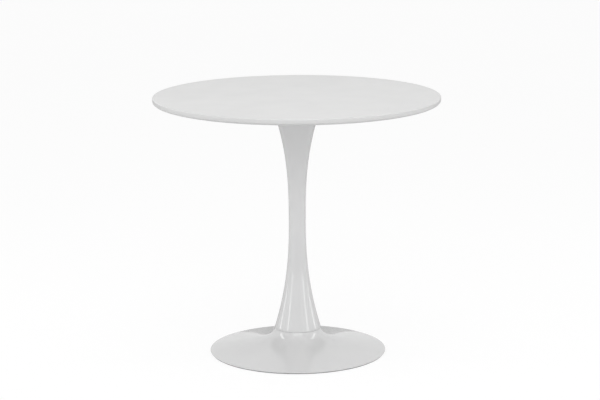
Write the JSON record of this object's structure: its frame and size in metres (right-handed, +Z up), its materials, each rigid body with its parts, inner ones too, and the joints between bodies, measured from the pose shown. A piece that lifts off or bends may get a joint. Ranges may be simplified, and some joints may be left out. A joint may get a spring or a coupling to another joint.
{
  "type": "round pedestal table",
  "caption": "Round table: a lacquered board bolted to a waisted steel column that flares into a shallow, weighted round base.",
  "frame": {"origin": "on the floor, under the middle of the tabletop", "axes": "+Z up along the column; the table is round, so +X and +Y only follow the screw patterns"},
  "size_m": [0.7999, 0.8, 0.73],
  "materials": {
    "board": "white satin lacquer on fibreboard",
    "insert_brass": "turned",
    "plate_paint": "white powder coat",
    "zinc": "zinc plated",
    "black_steel": "black oxide",
    "column_paint": "white gloss powder coat",
    "bare_steel": "machined, oiled",
    "base_paint": "white gloss powder coat",
    "iron": "sand cast, black primer",
    "black_plastic": "fine moulded grain",
    "trim_plastic": "soft, cloudy"
  },
  "bodies": {
    "root": {"tabletop": "board", "threaded_inserts": "insert_brass", "mounting_plate": "plate_paint", "board_screws": "zinc", "board_screw_washers": "zinc", "plate_bolts": "black_steel", "column_shell": "column_paint", "column_top_flange": "bare_steel", "column_foot_flange": "bare_steel", "base_shell": "base_paint", "hub_plate": "bare_steel", "neck_bolts": "zinc", "neck_spring_washers": "zinc", "neck_flat_washers": "zinc", "weight_ring": "iron", "weight_studs": "zinc", "weight_washers": "zinc", "weight_nuts": "zinc", "bottom_cover": "black_plastic", "cover_screws": "zinc", "floor_trim": "trim_plastic"}
  },
  "joints": []
}
